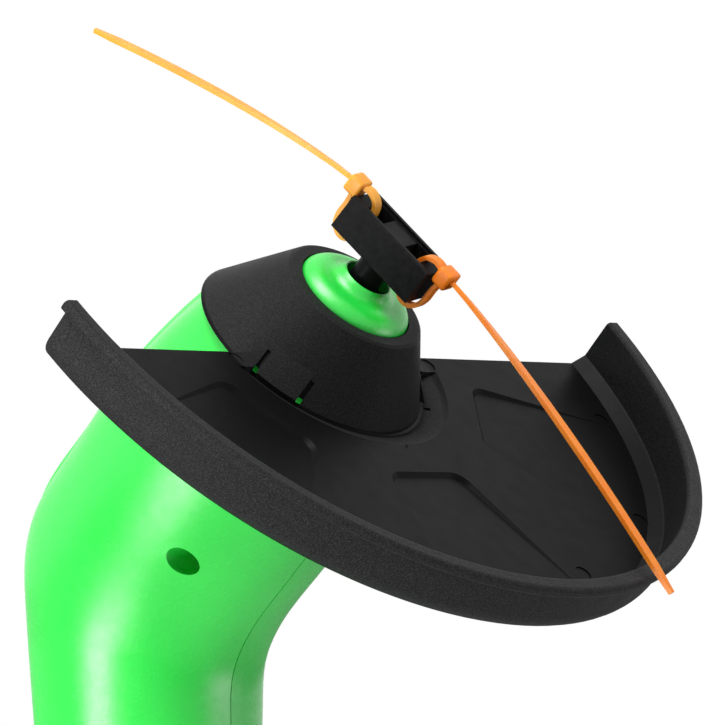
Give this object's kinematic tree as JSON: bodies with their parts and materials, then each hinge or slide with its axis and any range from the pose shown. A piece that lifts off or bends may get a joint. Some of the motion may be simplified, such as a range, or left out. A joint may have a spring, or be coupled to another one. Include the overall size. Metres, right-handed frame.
{
  "type": "string trimmer",
  "caption": "Light cordless string trimmer: angled motor head with half-disc guard and cable-tie cutting lines, straight pole, trigger handle and battery bay.",
  "frame": {"origin": "on the pole axis, at the middle of the bare length of the pole", "axes": "+Z along the pole toward the motor head, +X toward the inner side of the bend (the guard side and trigger side), XZ is the symmetry plane"},
  "size_m": [0.1777, 0.2, 0.9565],
  "materials": {
    "green_shell": "satin, fine grain",
    "guard_black": "satin floor, grained rim and collar",
    "holder_black": "satin",
    "tie_orange": "translucent satin",
    "screw_steel": "zinc",
    "pin_steel": "ground",
    "motor_steel": "plated",
    "magnet": "sintered",
    "bush_brass": "plain",
    "inner_plastic": "matt",
    "cell_jacket": "printed jacket, plain",
    "contact_metal": "nickel",
    "pole_coat": "powder coat",
    "trim_black": "satin",
    "grip_rubber": "ribbed",
    "lead_red": "plain",
    "lead_black": "plain",
    "lead_white": "plain"
  },
  "bodies": {
    "frame": {"housing_left": "green_shell", "housing_right": "green_shell", "nose_cap": "green_shell", "handle_left": "green_shell", "handle_right": "green_shell", "guard": "guard_black", "housing_screws": "screw_steel", "handle_screws": "screw_steel", "door_pin": "pin_steel", "trigger_pin": "pin_steel", "motor_can": "motor_steel", "motor_magnets": "magnet", "motor_end_cap": "inner_plastic", "motor_bushes": "bush_brass", "motor_terminals": "bush_brass", "battery_tray": "inner_plastic", "battery_cells": "cell_jacket", "battery_contacts": "contact_metal", "pole": "pole_coat", "pole_collar": "trim_black", "handle_ferrule": "trim_black", "grip_sleeve": "grip_rubber", "hang_loop": "trim_black", "switch_body": "inner_plastic", "switch_spring": "contact_metal", "lock_spring": "contact_metal", "lead_red": "lead_red", "lead_black": "lead_black", "lead_white": "lead_white"},
    "cutter": {"motor_shaft": "pin_steel", "armature": "motor_steel", "commutator": "bush_brass", "line_holder": "holder_black", "cutting_tie_a": "tie_orange", "cutting_tie_b": "tie_orange"},
    "trigger": {"trigger": "trim_black"},
    "plunger": {"switch_plunger": "inner_plastic"},
    "lock_button": {"lock_button": "trim_black"},
    "battery_door": {"battery_door": "green_shell"}
  },
  "joints": [
    {"name": "cutter_spin", "type": "hinge", "parent": "frame", "child": "cutter", "pos_m": [0.05558, 0, 0.44313], "axis": [0.7314, 0, 0.682], "continuous": true},
    {"name": "trigger_pull", "type": "hinge", "parent": "frame", "child": "trigger", "pos_m": [0.0115, 0, -0.214], "axis": [0, 1, 0], "range_deg": [0, 9], "stiffness_Nm_per_rad": 0.5, "springref_deg": -11.46},
    {"name": "switch_push", "type": "slide", "parent": "frame", "child": "plunger", "axis": [-1, 0, 0], "range_m": [0, 0.0046], "deforming": ["switch_spring"]},
    {"name": "lock_press", "type": "slide", "parent": "frame", "child": "lock_button", "axis": [1, 0, 0], "range_m": [0, 0.003], "stiffness_N_per_m": 400, "springref_m": -0.003, "deforming": ["lock_spring"]},
    {"name": "door_swing", "type": "hinge", "parent": "frame", "child": "battery_door", "pos_m": [-0.0304, 0, 0.2658], "axis": [0, -1, 0], "range_deg": [0, 100]}
  ],
  "couplings": [
    {"joint": "switch_push", "follows": "trigger_pull", "m_per_rad": 0.028}
  ]
}
